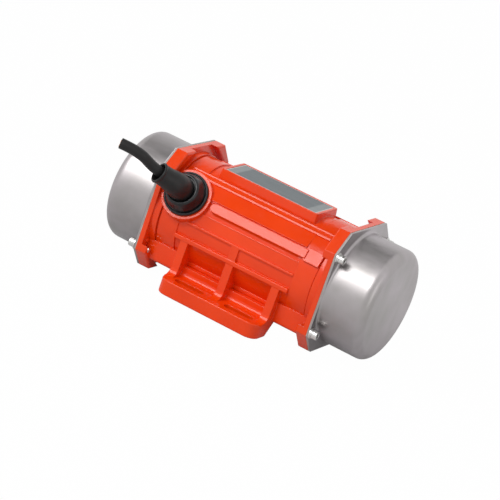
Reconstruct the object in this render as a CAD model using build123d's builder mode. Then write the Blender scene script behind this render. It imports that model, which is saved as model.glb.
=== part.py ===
from build123d import *
import os
from math import cos, pi, radians, sin, tan

os.makedirs("parts", exist_ok=True)

# Small rotary vibration motor: a cast housing on two slotted feet, a squirrel cage
# rotor, and at each end of the shaft a fixed and an adjustable half-disc weight under
# a drawn steel cap. X runs along the shaft, -Y is the cable side and Z is up from
# the floor under the feet.

# Driving sizes of the casting, in millimetres
axis_height = 50.0
cap_seat_x = 76.0
flange_half_width = 44.8
flange_half_height = 47.8
flange_corner = 15.0
flange_t = 4.0
flange_edge_r = 1.6
lug_t = 9.5
lug_start_y = 16.0
lug_start_z = 27.0
pip_r = 1.5
pip_t = 1.4
bore_r = 36.5
barrel_wall = 4.9
band_rise = 1.0
band_x = 50.0
collar_rise = 2.2
collar_w = 5.2
seam_w = 0.8
seat_depth = 10.0
seat_step = 3.1
fit_gap = 0.1
cut_over = 1.0

# Base block, feet and foot brackets
base_half_width = 37.0
base_bottom_z = 11.8
base_top_z = 27.5
window_sill_z = 19.5
base_edge_r = 2.5
foot_half_length = 43.75
foot_reach = 59.0
foot_t = 11.7
foot_corner_r = 9.0
foot_edge_r = 1.0
foot_root_r = 4.0
sole_inner_y = 41.0
arch_top_y = 31.0
foot_slot_x = 22.0
foot_slot_y = 49.0
foot_slot_w = 6.8
foot_slot_length = 25.0
bar_rise = 1.5
top_bar_up = 3.4
top_bar_h = 2.4
low_bar_down = 9.4
low_bar_h = 3.8
low_bar_rise = 1.9
bar_half_length = 50.0
bar_edge_r = 0.9
rib_w = 6.5
rib_x = 40.5
rib_toe_y = 43.8
rib_toe_rise = 5.4
rib_foot_y = 50.5

# Raised shapes on the barrel
panel_low_angle = 34.0
panel_high_angle = 53.0
rail_high_angle = 59.0
rail_rise = 1.9
rail_half_length = 62.0
pad_length = 84.0
pad_width = 34.6
pad_rise = 4.0
pad_corner_r = 1.5
pad_draft = 0.8
plate_length = 79.0
plate_width = 31.0
plate_t = 0.8
plate_recess = 1.0
plate_corner_r = 1.0
gland_angle = 29.0
gland_x = -53.0
gland_boss_r = 19.6
gland_boss_rise = 3.1
cast_bar_rise = 2.2
bar_left_x = -31.0
bar_right_x = 50.0
bar_base_w = 9.4
bar_slope = 24.0
block_x = 58.7
block_length = 13.6
block_w = 10.6
block_rise = 2.6
block_corner_r = 1.4

# Cap, its gasket and its four screws
cap_r = 44.0
cap_depth = 38.0
cap_wall = 1.0
cap_edge_r = 7.0
cap_root_r = 2.2
gasket_t = 0.8
cap_screw_y = 41.1
cap_screw_z = 30.2
cap_screw_r = 2.0
cap_head_r = 3.5
cap_head_h = 4.0
cap_socket_af = 3.0
cap_socket_depth = 2.2
flat_washer_r = 4.4
flat_washer_t = 0.8
spring_washer_r = 3.6
spring_washer_t = 1.0
screw_tip_out = 0.4

# Rotor, stator, shields and bearings
stator_half_length = 25.0
stator_bore_r = 20.0
air_gap = 0.35
slot_count = 18
slot_lip = 1.4
slot_back = 1.6
slot_w = 3.6
slot_mouth_w = 1.2
slot_liner = 0.2
end_turn_x = 27.0
end_turn_w = 14.0
end_turn_rise = 1.2
rotor_half_length = 23.0
cage_bar_count = 20
cage_bar_w = 2.0
cage_bar_inner_r = 13.2
cage_bar_outer_r = 18.6
cage_ring_w = 6.0
bolt_circle_inset = 4.5
bolt_r = 2.0
bolt_head_r = 3.6
bolt_head_h = 3.6
bolt_nut_h = 3.2
bolt_end_out = 0.8
shield_t = 6.0
spigot_wall = 1.8
spigot_w = 6.0
shield_rib_count = 8
shield_rib_w = 3.0
shield_hub_wall = 5.4
bearing_x = 53.0
bearing_w = 11.0
bearing_bore_r = 7.5
bearing_outer_r = 17.5
race_wall = 2.9
ball_r = 3.0
ball_count = 8
ball_gap = 0.1
ball_cage_half_w = 4.2
ball_cage_wall = 1.8

# Shaft and weights
rotor_seat_r = 9.0
weight_seat_x = 78.0
weight_seat_r = 6.0
shaft_end_x = 110.4
shaft_chamfer = 1.0
sleeve_r = 11.0
sleeve_clearance = 0.6
running_gap = 0.05
side_gap = 0.3
weight_t = 11.0
weight_r = 38.0
weight_hub_r = 12.0
weight_edge_r = 1.0
key_w = 4.0
key_h = 4.0
key_length = 9.0
clamp_split = 1.6
ear_half_w = 10.6
ear_top = 15.0
clamp_screw_r = 2.5
clamp_screw_z = 10.2
clamp_head_r = 4.2
clamp_head_h = 4.0
nut_washer_r = 12.0
nut_washer_t = 2.0
shaft_nut_af = 19.0
shaft_nut_h = 6.0

# Cable gland, boot and cord; rho is the distance from the shaft axis
gland_stub_r = 8.0
gland_stub_rho = 37.2
gland_disc_r = 17.2
gland_disc_t = 3.0
gland_nut_r = 14.7
gland_nut_flat_r = 13.9
gland_nut_top_r = 11.7
gland_nut_h = 9.5
gland_mouth_r = 10.5
gland_mouth_depth = 2.4
seal_r = 7.2
seal_h = 5.0
boot_base_r = 9.6
boot_waist_r = 8.6
boot_neck_r = 7.6
boot_short = 3.0
boot_lip_r = 8.2
boot_mouth_r = 6.4
boot_mouth_depth = 9.0
cord_r = 4.1
cord_gap = 0.12

# Places worked out from the sizes above
shaft_axis = Axis((0, 0, axis_height), (1, 0, 0))
cross_plane = Plane(origin=(0, 0, axis_height), x_dir=(0, 1, 0), z_dir=(1, 0, 0))
profile_plane = Plane(origin=(0, 0, axis_height), x_dir=(1, 0, 0), z_dir=(0, -1, 0))
flange_back_x = cap_seat_x - flange_t
lug_back_x = cap_seat_x - lug_t
collar_x = flange_back_x - collar_w
band_end_x = collar_x - seam_w
seat_bore_x = cap_seat_x - seat_depth
axis_to_sole = -axis_height
axis_to_base = base_bottom_z - axis_height
axis_to_foot_top = foot_t - axis_height
barrel_r = bore_r + barrel_wall
band_r = barrel_r + band_rise
collar_r = barrel_r + collar_rise
rail_r = barrel_r + rail_rise
seat_r = bore_r + seat_step
bar_reach = barrel_r + bar_rise
low_bar_reach = barrel_r + low_bar_rise
gland_boss_rho = barrel_r + gland_boss_rise
pad_top_z = axis_height + barrel_r + pad_rise
bolt_circle_r = bore_r - bolt_circle_inset
slot_inner_r = stator_bore_r + slot_lip
slot_outer_r = bolt_circle_r - bolt_r - 2 * fit_gap - slot_back
end_turn_r = slot_outer_r + end_turn_rise
screw_places = [(y, z) for y in (-cap_screw_y, cap_screw_y) for z in (-cap_screw_z, cap_screw_z)]
shield_x = seat_bore_x + shield_t
bearing_end_x = bearing_x + bearing_w
plate_x = cap_seat_x + gasket_t
cap_end_x = cap_seat_x + cap_depth
pad_root_z = axis_height + bore_r + 1
adjustable_x = weight_seat_x + weight_t + side_gap
nut_washer_x = adjustable_x + weight_t + side_gap
shaft_nut_x = nut_washer_x + nut_washer_t
gland_tilt = radians(gland_angle)
gland_normal = Vector(0, -cos(gland_tilt), sin(gland_tilt))


def radial_point(x, rho):
    """Point at station x on the gland's radial line, rho from the shaft axis."""
    return Vector(x, 0, axis_height) + gland_normal * rho


def radial_plane(x, rho):
    """Sketch plane square to the gland's radial line."""
    return Plane(origin=radial_point(x, rho), x_dir=(1, 0, 0), z_dir=gland_normal)


def ring(x0, x1, r0, r1, mode=Mode.ADD):
    """Ring about the shaft axis between two stations and two radii."""
    with BuildSketch(profile_plane) as section:
        with Locations(((x0 + x1) / 2, (r0 + r1) / 2)):
            Rectangle(x1 - x0, r1 - r0)
    revolve(section.sketch, axis=shaft_axis, mode=mode)


def drum(x0, x1, r, mode=Mode.ADD):
    """Solid cylinder on the shaft axis between two stations."""
    with BuildSketch(cross_plane.offset(x0)) as section:
        Circle(r)
    extrude(section.sketch, amount=x1 - x0, mode=mode)


def octagon(inset=0.0):
    """Flange outline in the current sketch: a rectangle with cut corners."""
    half_w = flange_half_width - inset
    half_h = flange_half_height - inset
    cut = flange_corner - inset * (2 - 2 ** 0.5)
    with BuildLine() as outline:
        Polyline(
            (half_w - cut, half_h), (half_w, half_h - cut), (half_w, cut - half_h),
            (half_w - cut, -half_h), (cut - half_w, -half_h), (-half_w, cut - half_h),
            (-half_w, half_h - cut), (cut - half_w, half_h), close=True,
        )
    make_face(outline.edges())


# Housing casting: flanges and their corner lugs
with BuildPart() as flange:
    with BuildSketch(cross_plane.offset(flange_back_x)):
        octagon()
    extrude(amount=flange_t)
    with BuildSketch(cross_plane.offset(lug_back_x)):
        with BuildLine():
            Polyline(
                (lug_start_y, flange_half_height),
                (flange_half_width - flange_corner, flange_half_height),
                (flange_half_width, flange_half_height - flange_corner),
                (flange_half_width, lug_start_z), close=True,
            )
        make_face()
        mirror(about=Plane.YZ)
        mirror(about=Plane.XZ)
    extrude(amount=lug_t - flange_t)
    fillet(flange.faces().group_by(Axis.X)[0].edges(), radius=flange_edge_r)
    with BuildSketch(cross_plane.offset(flange_back_x - pip_t)):
        with GridLocations(2 * (cap_screw_y - pip_r), 2 * (lug_start_z - 2 * pip_r), 2, 2):
            Circle(pip_r)
    extrude(amount=pip_t)

# One foot with its inner arch, and the rib brackets above it
with BuildPart() as foot:
    with BuildSketch(cross_plane.offset(-foot_half_length)) as foot_section:
        with BuildLine():
            Polyline(
                (-foot_reach, axis_to_sole), (-sole_inner_y, axis_to_sole), (-arch_top_y, axis_to_base),
                (-arch_top_y, window_sill_z - axis_height), (-base_half_width, window_sill_z - axis_height),
                (-base_half_width, axis_to_foot_top), (-foot_reach, axis_to_foot_top), close=True,
            )
        make_face()
        wall_corners = foot_section.vertices().filter_by(lambda v: abs(v.X + base_half_width) < 0.01)
        fillet(wall_corners.sort_by(Axis.Y)[0], radius=foot_root_r)
    extrude(amount=2 * foot_half_length)
    outer_corners = foot.edges().filter_by(Axis.Z).group_by(Axis.Y)[0]
    fillet(outer_corners, radius=foot_corner_r)
    fillet(foot.faces().sort_by(Axis.Y)[0].edges().filter_by(Axis.X), radius=foot_edge_r)
    for station in (-rib_x, 0.0, rib_x):
        with BuildSketch(cross_plane.offset(station - rib_w / 2)):
            with BuildLine():
                Polyline(
                    (-rib_foot_y, axis_to_foot_top), (-rib_foot_y, axis_to_foot_top - 1),
                    (-arch_top_y, axis_to_foot_top - 1), (-arch_top_y, -low_bar_down),
                    (-bar_reach, -low_bar_down), (-rib_toe_y, axis_to_foot_top + rib_toe_rise),
                )
                ThreePointArc(
                    (-rib_toe_y, axis_to_foot_top + rib_toe_rise),
                    (-rib_toe_y - 1.9, axis_to_foot_top + 1.7), (-rib_foot_y, axis_to_foot_top),
                )
            make_face()
        extrude(amount=rib_w)

# Horizontal bars and the middle post of the bracket frame, on one side
with BuildPart() as bracket_bars:
    for height, thickness, reach in (
        (top_bar_up, top_bar_h, bar_reach), (-low_bar_down, low_bar_h, low_bar_reach),
    ):
        with BuildSketch(cross_plane.offset(-bar_half_length)) as bar_section:
            with Locations((-(reach + bore_r) / 2, height)):
                Rectangle(reach - bore_r, thickness)
            nose = bar_section.vertices().group_by(Axis.X)[0]
            fillet(nose, radius=bar_edge_r)
        extrude(amount=2 * bar_half_length)
    with BuildSketch(cross_plane.offset(-rib_w / 2)):
        with Locations((-(bar_reach + bore_r) / 2, (top_bar_up - low_bar_down) / 2)):
            Rectangle(bar_reach - bore_r, top_bar_up + low_bar_down)
    extrude(amount=rib_w)

# Pad for the plate on top, with draft on its sides and a shallow recess
with BuildPart() as plate_pad:
    with BuildSketch(Plane.XY.offset(pad_root_z)):
        RectangleRounded(pad_length + 2 * pad_draft, pad_width + 2 * pad_draft, pad_corner_r)
    with BuildSketch(Plane.XY.offset(pad_top_z)):
        RectangleRounded(pad_length, pad_width, pad_corner_r)
    loft()
    with BuildSketch(Plane.XY.offset(pad_top_z)):
        RectangleRounded(plate_length + 6 * fit_gap, plate_width + 6 * fit_gap, plate_corner_r)
    extrude(amount=-plate_recess, mode=Mode.SUBTRACT)

with BuildPart() as housing:
    drum(-flange_back_x, flange_back_x, barrel_r)
    for sign in (-1, 1):
        drum(sign * band_x, sign * band_end_x, band_r)
        drum(sign * collar_x, sign * flange_back_x, collar_r)
    # Base block: low sill under the bracket windows, full height beside them
    with BuildSketch(cross_plane.offset(-flange_back_x)) as sill:
        with Locations((0, (base_bottom_z + window_sill_z) / 2 - axis_height)):
            Rectangle(2 * base_half_width, window_sill_z - base_bottom_z)
        fillet(sill.vertices().group_by(Axis.Y)[0], radius=base_edge_r)
    extrude(amount=2 * flange_back_x)
    for sign in (-1, 1):
        with BuildSketch(cross_plane.offset(sign * foot_half_length)):
            with Locations((0, (window_sill_z + base_top_z) / 2 - axis_height)):
                Rectangle(2 * base_half_width, base_top_z - window_sill_z)
        extrude(amount=sign * (flange_back_x - foot_half_length))
    add(foot.part)
    add(bracket_bars.part)
    add(mirror(foot.part, about=Plane.XZ, mode=Mode.PRIVATE))
    add(mirror(bracket_bars.part, about=Plane.XZ, mode=Mode.PRIVATE))
    add(flange.part)
    add(mirror(flange.part, about=Plane.YZ, mode=Mode.PRIVATE))
    # Long raised panels and rails between the end bands, on both sides
    for low, high, radius, half in (
        (panel_low_angle, panel_high_angle, band_r, band_x),
        (panel_high_angle, rail_high_angle, rail_r, rail_half_length),
    ):
        with BuildSketch(cross_plane.offset(-half)):
            with BuildLine():
                outer = CenterArc((0, 0), radius, 180 - high, high - low)
                inner = CenterArc((0, 0), barrel_r - 1, 180 - high, high - low)
                Line(outer @ 0, inner @ 0)
                Line(outer @ 1, inner @ 1)
            make_face()
            mirror(about=Plane.YZ)
        extrude(amount=2 * half)
    add(plate_pad.part)
    # Gland boss, the cast bar that runs from it, and the blank block at its end
    with BuildSketch(radial_plane(gland_x, bore_r)):
        Circle(gland_boss_r)
    extrude(amount=gland_boss_rho - bore_r)
    with BuildSketch(radial_plane((bar_left_x + bar_right_x) / 2, barrel_r - 1)):
        SlotOverall(bar_right_x - bar_left_x, bar_base_w)
    extrude(amount=cast_bar_rise + 1, taper=bar_slope)
    with BuildSketch(radial_plane(block_x, barrel_r - 2)):
        RectangleRounded(block_length, block_w, block_corner_r)
    extrude(amount=block_rise + 2)
    # Bores, the seats of the end shields and every hole
    drum(-cap_seat_x, cap_seat_x, bore_r, mode=Mode.SUBTRACT)
    for sign in (-1, 1):
        drum(sign * seat_bore_x, sign * cap_seat_x, seat_r, mode=Mode.SUBTRACT)
    with BuildSketch(cross_plane.offset(-cap_seat_x)):
        with Locations(*screw_places):
            Circle(cap_screw_r + running_gap)
    extrude(amount=2 * cap_seat_x, mode=Mode.SUBTRACT)
    with BuildSketch(radial_plane(gland_x, 0)):
        Circle(gland_stub_r + fit_gap)
    extrude(amount=gland_boss_rho + cut_over, mode=Mode.SUBTRACT)
    with BuildSketch(Plane.XY):
        with GridLocations(2 * foot_slot_x, 2 * foot_slot_y, 2, 2):
            SlotOverall(foot_slot_length, foot_slot_w)
    extrude(amount=foot_t + cut_over, mode=Mode.SUBTRACT)

housing.part.label = "housing"
export_step(housing.part, "parts/housing.step")

# Drawn steel cap for the right end: octagonal rim, drum and rounded end
with BuildPart() as end_cap:
    with BuildSketch(cross_plane.offset(plate_x)):
        octagon()
    extrude(amount=cap_wall)
    drum(plate_x, cap_end_x, cap_r)
    fillet(end_cap.edges().filter_by(GeomType.CIRCLE).sort_by(Axis.X)[-1], radius=cap_edge_r)
    root_edge = end_cap.edges().filter_by(GeomType.CIRCLE).filter_by(
        lambda e: abs(e.center().X - plate_x - cap_wall) < 0.01
    )
    fillet(root_edge, radius=cap_root_r)
    with BuildSketch(profile_plane) as hollow:
        with BuildLine():
            Polyline(
                (plate_x, 0), (plate_x, cap_r - cap_wall),
                (cap_end_x - cap_wall, cap_r - cap_wall), (cap_end_x - cap_wall, 0), close=True,
            )
        make_face()
        inner_corner = hollow.vertices().group_by(Axis.X)[-1].sort_by(Axis.Y)[-1]
        fillet(inner_corner, radius=cap_edge_r - cap_wall)
    revolve(axis=shaft_axis, mode=Mode.SUBTRACT)
    with BuildSketch(cross_plane.offset(plate_x)):
        with Locations(*screw_places):
            Circle(cap_screw_r + 2 * fit_gap)
    extrude(amount=cap_wall, mode=Mode.SUBTRACT)

with BuildPart() as cap_gasket:
    with BuildSketch(cross_plane.offset(cap_seat_x)):
        octagon(inset=fit_gap)
        Circle(cap_r - cap_wall, mode=Mode.SUBTRACT)
        with Locations(*screw_places):
            Circle(cap_screw_r + 2 * fit_gap, mode=Mode.SUBTRACT)
    extrude(amount=gasket_t)

# Socket screws with a flat and a spring washer, threaded through the lugs
washer_x = plate_x + cap_wall
spring_x = washer_x + flat_washer_t
head_x = spring_x + spring_washer_t
with BuildPart() as cap_washers:
    with BuildSketch(cross_plane.offset(washer_x)):
        with Locations(*screw_places):
            Circle(flat_washer_r)
            Circle(cap_screw_r + fit_gap, mode=Mode.SUBTRACT)
    extrude(amount=flat_washer_t)
    with BuildSketch(cross_plane.offset(spring_x)):
        with Locations(*screw_places):
            Circle(spring_washer_r)
            Circle(cap_screw_r + fit_gap, mode=Mode.SUBTRACT)
    extrude(amount=spring_washer_t)

with BuildPart() as cap_screws:
    with BuildSketch(cross_plane.offset(head_x)):
        with Locations(*screw_places):
            Circle(cap_head_r)
    extrude(amount=cap_head_h)
    with BuildSketch(cross_plane.offset(lug_back_x - screw_tip_out)):
        with Locations(*screw_places):
            Circle(cap_screw_r)
    extrude(amount=head_x - lug_back_x + screw_tip_out)
    with BuildSketch(cross_plane.offset(head_x + cap_head_h)):
        with Locations(*screw_places):
            RegularPolygon(cap_socket_af / 2, 6, major_radius=False)
    extrude(amount=-cap_socket_depth, mode=Mode.SUBTRACT)

# End shield: plate in the housing seat, spigot in the bore, hub round the bearing
with BuildPart() as end_shield:
    spigot_x = seat_bore_x - spigot_w
    hub_r = bearing_outer_r + shield_hub_wall
    ring(seat_bore_x, shield_x, sleeve_r + sleeve_clearance, seat_r - fit_gap)
    ring(spigot_x, seat_bore_x, bore_r - fit_gap - spigot_wall, bore_r - fit_gap)
    ring(bearing_x, seat_bore_x, bearing_outer_r + running_gap, hub_r)
    ring(bearing_end_x + running_gap, seat_bore_x, bearing_outer_r - race_wall, bearing_outer_r + 1)
    with BuildSketch(cross_plane.offset(spigot_x)):
        with PolarLocations((hub_r + bore_r) / 2 - 1, shield_rib_count, start_angle=22.5):
            Rectangle(bore_r - hub_r - 1, shield_rib_w)
    extrude(amount=spigot_w)
    with BuildSketch(cross_plane.offset(seat_bore_x)):
        with PolarLocations(bolt_circle_r, 4, start_angle=45):
            Circle(bolt_r + fit_gap)
    extrude(amount=shield_t, mode=Mode.SUBTRACT)

# Four long bolts clamp both shields against the housing, nuts on the right
with BuildPart() as tie_bolts:
    with BuildSketch(cross_plane.offset(-shield_x)):
        with PolarLocations(bolt_circle_r, 4, start_angle=45):
            Circle(bolt_r)
    extrude(amount=2 * shield_x + bolt_nut_h + bolt_end_out)
    with BuildSketch(cross_plane.offset(-shield_x)):
        with PolarLocations(bolt_circle_r, 4, start_angle=45):
            Circle(bolt_head_r)
    extrude(amount=-bolt_head_h)
tie_bolts.part.label = "tie_bolts"
export_step(tie_bolts.part, "parts/tie_bolts.step")

with BuildPart() as tie_nuts:
    with BuildSketch(cross_plane.offset(shield_x)):
        with PolarLocations(bolt_circle_r, 4, start_angle=45):
            RegularPolygon(bolt_head_r, 6, major_radius=False)
            Circle(bolt_r + fit_gap, mode=Mode.SUBTRACT)
    extrude(amount=bolt_nut_h)
tie_nuts.part.label = "tie_nuts"
export_step(tie_nuts.part, "parts/tie_nuts.step")

# Stator stack with its slots, and the winding that fills them
with BuildPart() as stator_core:
    with BuildSketch(cross_plane.offset(-stator_half_length)):
        Circle(bore_r - fit_gap)
        Circle(stator_bore_r, mode=Mode.SUBTRACT)
        with PolarLocations((slot_inner_r + slot_outer_r) / 2, slot_count):
            Rectangle(slot_outer_r - slot_inner_r, slot_w, mode=Mode.SUBTRACT)
        with PolarLocations((stator_bore_r + slot_inner_r) / 2, slot_count):
            Rectangle(slot_inner_r - stator_bore_r + 1, slot_mouth_w, mode=Mode.SUBTRACT)
        with PolarLocations(bolt_circle_r, 4, start_angle=45):
            Circle(bolt_r + 2 * fit_gap, mode=Mode.SUBTRACT)
    extrude(amount=2 * stator_half_length)
stator_core.part.label = "stator_core"
export_step(stator_core.part, "parts/stator_core.step")

with BuildPart() as stator_winding:
    with BuildSketch(cross_plane.offset(-end_turn_x - 1)):
        with PolarLocations((slot_inner_r + slot_outer_r) / 2, slot_count):
            Rectangle(slot_outer_r - slot_inner_r - 2 * slot_liner, slot_w - 2 * slot_liner)
    extrude(amount=2 * end_turn_x + 2)
    for sign in (-1, 1):
        with BuildSketch(profile_plane):
            with Locations((sign * (end_turn_x + end_turn_w / 2), (slot_inner_r + end_turn_r) / 2)):
                RectangleRounded(end_turn_w, end_turn_r - slot_inner_r, 2.5)
        revolve(axis=shaft_axis)
stator_winding.part.label = "stator_winding"
export_step(stator_winding.part, "parts/stator_winding.step")

# Rotor stack, its aluminium cage and the shaft
with BuildPart() as rotor_core:
    with BuildSketch(cross_plane.offset(-rotor_half_length)):
        Circle(stator_bore_r - air_gap)
        Circle(rotor_seat_r + running_gap, mode=Mode.SUBTRACT)
        with PolarLocations((cage_bar_inner_r + cage_bar_outer_r) / 2, cage_bar_count):
            Rectangle(cage_bar_outer_r - cage_bar_inner_r, cage_bar_w, mode=Mode.SUBTRACT)
    extrude(amount=2 * rotor_half_length)
rotor_core.part.label = "rotor_core"
export_step(rotor_core.part, "parts/rotor_core.step")

with BuildPart() as rotor_cage:
    with BuildSketch(cross_plane.offset(-rotor_half_length - 1)):
        with PolarLocations((cage_bar_inner_r + cage_bar_outer_r) / 2, cage_bar_count):
            Rectangle(cage_bar_outer_r - cage_bar_inner_r - 2 * running_gap, cage_bar_w - 2 * running_gap)
    extrude(amount=2 * rotor_half_length + 2)
    for sign in (-1, 1):
        ring_ends = sorted((sign * rotor_half_length, sign * (rotor_half_length + cage_ring_w)))
        ring(ring_ends[0], ring_ends[1], cage_bar_inner_r - 1, cage_bar_outer_r)
rotor_cage.part.label = "rotor_cage"
export_step(rotor_cage.part, "parts/rotor_cage.step")

with BuildPart() as shaft:
    drum(-shaft_end_x, shaft_end_x, weight_seat_r)
    chamfer(shaft.edges().filter_by(GeomType.CIRCLE), length=shaft_chamfer)
    drum(-weight_seat_x, weight_seat_x, bearing_bore_r)
    drum(-bearing_x, bearing_x, rotor_seat_r)
    for sign in (-1, 1):
        with BuildSketch(cross_plane.offset(sign * (weight_seat_x + 1))):
            with Locations((0, weight_seat_r)):
                Rectangle(key_w, key_h)
        extrude(amount=sign * key_length, mode=Mode.SUBTRACT)
shaft.part.label = "shaft"
export_step(shaft.part, "parts/shaft.step")

# Bearing: two grooved rings and the balls in their cage
bearing_mid_x = bearing_x + bearing_w / 2
pitch_r = (bearing_bore_r + bearing_outer_r) / 2
with BuildPart() as bearing_outer_ring:
    ring(bearing_x, bearing_end_x, bearing_outer_r - race_wall, bearing_outer_r)
    with BuildSketch(profile_plane):
        with Locations((bearing_mid_x, pitch_r)):
            Circle(ball_r + ball_gap)
    revolve(axis=shaft_axis, mode=Mode.SUBTRACT)

with BuildPart() as bearing_inner_ring:
    ring(bearing_x, bearing_end_x, bearing_bore_r + running_gap, bearing_bore_r + race_wall)
    with BuildSketch(profile_plane):
        with Locations((bearing_mid_x, pitch_r)):
            Circle(ball_r + ball_gap)
    revolve(axis=shaft_axis, mode=Mode.SUBTRACT)

with BuildPart() as ball_cage:
    for side in (-1, 1):
        band_edges = sorted((side * (ball_r + ball_gap), side * ball_cage_half_w))
        ring(
            bearing_mid_x + band_edges[0], bearing_mid_x + band_edges[1],
            pitch_r - ball_cage_wall / 2, pitch_r + ball_cage_wall / 2,
        )
    with BuildSketch(cross_plane.offset(bearing_mid_x - ball_cage_half_w)):
        with PolarLocations(pitch_r, ball_count, start_angle=180 / ball_count):
            Rectangle(ball_cage_wall, ball_cage_wall)
    extrude(amount=2 * ball_cage_half_w)
    with Locations(cross_plane.offset(bearing_mid_x)):
        with PolarLocations(pitch_r, ball_count):
            Sphere(ball_r)

with BuildPart() as spacer_sleeve:
    ring(bearing_end_x, weight_seat_x, bearing_bore_r + running_gap, sleeve_r)

# Half-disc weights: the inner one is keyed, the outer one clamps at a chosen angle
with BuildPart() as fixed_weight:
    with BuildSketch(cross_plane.offset(weight_seat_x)) as fixed_outline:
        with BuildLine():
            CenterArc((0, 0), weight_r, 180, 180)
            Line((weight_r, 0), (-weight_r, 0))
        make_face()
        fillet(fixed_outline.vertices(), radius=weight_edge_r)
        Circle(weight_hub_r)
        Circle(weight_seat_r + running_gap, mode=Mode.SUBTRACT)
        with Locations((0, weight_seat_r)):
            Rectangle(key_w + 2 * running_gap, key_h + 2 * running_gap, mode=Mode.SUBTRACT)
    extrude(amount=weight_t)

with BuildPart() as weight_key:
    with BuildSketch(cross_plane.offset(weight_seat_x + 1)):
        with Locations((0, weight_seat_r)):
            Rectangle(key_w - running_gap, key_h - running_gap)
    extrude(amount=key_length)

with BuildPart() as adjustable_weight:
    with BuildSketch(cross_plane.offset(adjustable_x)) as swing_outline:
        with BuildLine():
            CenterArc((0, 0), weight_r, 180, 180)
            Line((weight_r, 0), (-weight_r, 0))
        make_face()
        fillet(swing_outline.vertices(), radius=weight_edge_r)
        Circle(weight_hub_r)
        with Locations((0, ear_top / 2)):
            Rectangle(2 * ear_half_w, ear_top)
        Circle(weight_seat_r + running_gap, mode=Mode.SUBTRACT)
        with Locations((0, (ear_top + 1) / 2)):
            Rectangle(clamp_split, ear_top + 1, mode=Mode.SUBTRACT)
    extrude(amount=weight_t)
    clamp_plane = Plane(
        origin=(adjustable_x + weight_t / 2, -ear_half_w - 4, axis_height + clamp_screw_z),
        x_dir=(1, 0, 0), z_dir=(0, 1, 0),
    )
    with BuildSketch(clamp_plane):
        Circle(clamp_screw_r + fit_gap)
    extrude(amount=2 * ear_half_w + 8, mode=Mode.SUBTRACT)

with BuildPart() as clamp_screw:
    with BuildSketch(clamp_plane.offset(4)):
        Circle(clamp_screw_r)
    extrude(amount=2 * ear_half_w)
    with BuildSketch(clamp_plane.offset(4)):
        Circle(clamp_head_r)
    extrude(amount=-clamp_head_h)
    with BuildSketch(clamp_plane.offset(4 - clamp_head_h)):
        RegularPolygon(clamp_screw_r * 0.8, 6, major_radius=False)
    extrude(amount=clamp_head_h / 2, mode=Mode.SUBTRACT)

with BuildPart() as nut_washer:
    ring(nut_washer_x, shaft_nut_x, weight_seat_r + running_gap, nut_washer_r)

with BuildPart() as shaft_nut:
    with BuildSketch(cross_plane.offset(shaft_nut_x)):
        RegularPolygon(shaft_nut_af / 2, 6, major_radius=False)
        Circle(weight_seat_r + running_gap, mode=Mode.SUBTRACT)
    extrude(amount=shaft_nut_h)

# Every end piece exists twice, the left one mirrored from the right one
end_pieces = {
    "end_cap": end_cap, "cap_gasket": cap_gasket, "cap_washers": cap_washers,
    "cap_screws": cap_screws, "end_shield": end_shield,
    "bearing_outer_ring": bearing_outer_ring, "bearing_inner_ring": bearing_inner_ring,
    "ball_cage": ball_cage, "spacer_sleeve": spacer_sleeve, "fixed_weight": fixed_weight,
    "weight_key": weight_key, "adjustable_weight": adjustable_weight,
    "clamp_screw": clamp_screw, "nut_washer": nut_washer, "shaft_nut": shaft_nut,
}
for name, piece in end_pieces.items():
    right_piece = piece.part
    left_piece = mirror(piece.part, about=Plane.YZ)
    right_piece.label = f"{name}_right"
    left_piece.label = f"{name}_left"
    export_step(right_piece, f"parts/{name}_right.step")
    export_step(left_piece, f"parts/{name}_left.step")

# Bare plate in the recess of the top pad
with BuildPart() as nameplate:
    with BuildSketch(Plane.XY.offset(pad_top_z - plate_recess)):
        RectangleRounded(plate_length, plate_width, plate_corner_r)
    extrude(amount=plate_t)
nameplate.part.label = "nameplate"
export_step(nameplate.part, "parts/nameplate.step")

# Cord route: along the gland, through the bent boot and out to the left
cord_points = [
    radial_point(gland_x, gland_stub_rho), radial_point(gland_x, 60.5), radial_point(-60.0, 72.0),
    radial_point(-70.0, 83.0), Vector(-78.4, -83.0, 99.6), Vector(-92.5, -89.0, 101.1),
]
runs = [(end - start).length for start, end in zip(cord_points, cord_points[1:])]
turns = [
    (middle - start).get_angle(end - middle)
    for start, middle, end in zip(cord_points, cord_points[1:], cord_points[2:])
]
bend_radii = [
    0.45 * min(before, after) / tan(radians(turn) / 2)
    for before, after, turn in zip(runs, runs[1:], turns)
]
with BuildLine() as cord_line:
    FilletPolyline(*cord_points, radius=bend_radii)
cord_path = cord_line.wires()[0]


def across_cord(distance):
    """Sketch plane square to the cord, a distance along it from its inner end."""
    return Plane(
        origin=cord_path.position_at(distance, PositionMode.LENGTH),
        x_dir=(1, 0, 0), z_dir=cord_path.tangent_at(distance, PositionMode.LENGTH),
    )


with BuildPart() as power_cord:
    with BuildSketch(across_cord(0)):
        Circle(cord_r)
    sweep(path=cord_path)
power_cord.part.label = "power_cord"
export_step(power_cord.part, "parts/power_cord.step")
print("cord length", round(cord_path.length, 1), "volume ratio",
      round(power_cord.part.volume / (pi * cord_r ** 2 * cord_path.length), 4))
print("cord bend radii", [round(bend, 1) for bend in bend_radii])

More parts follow.
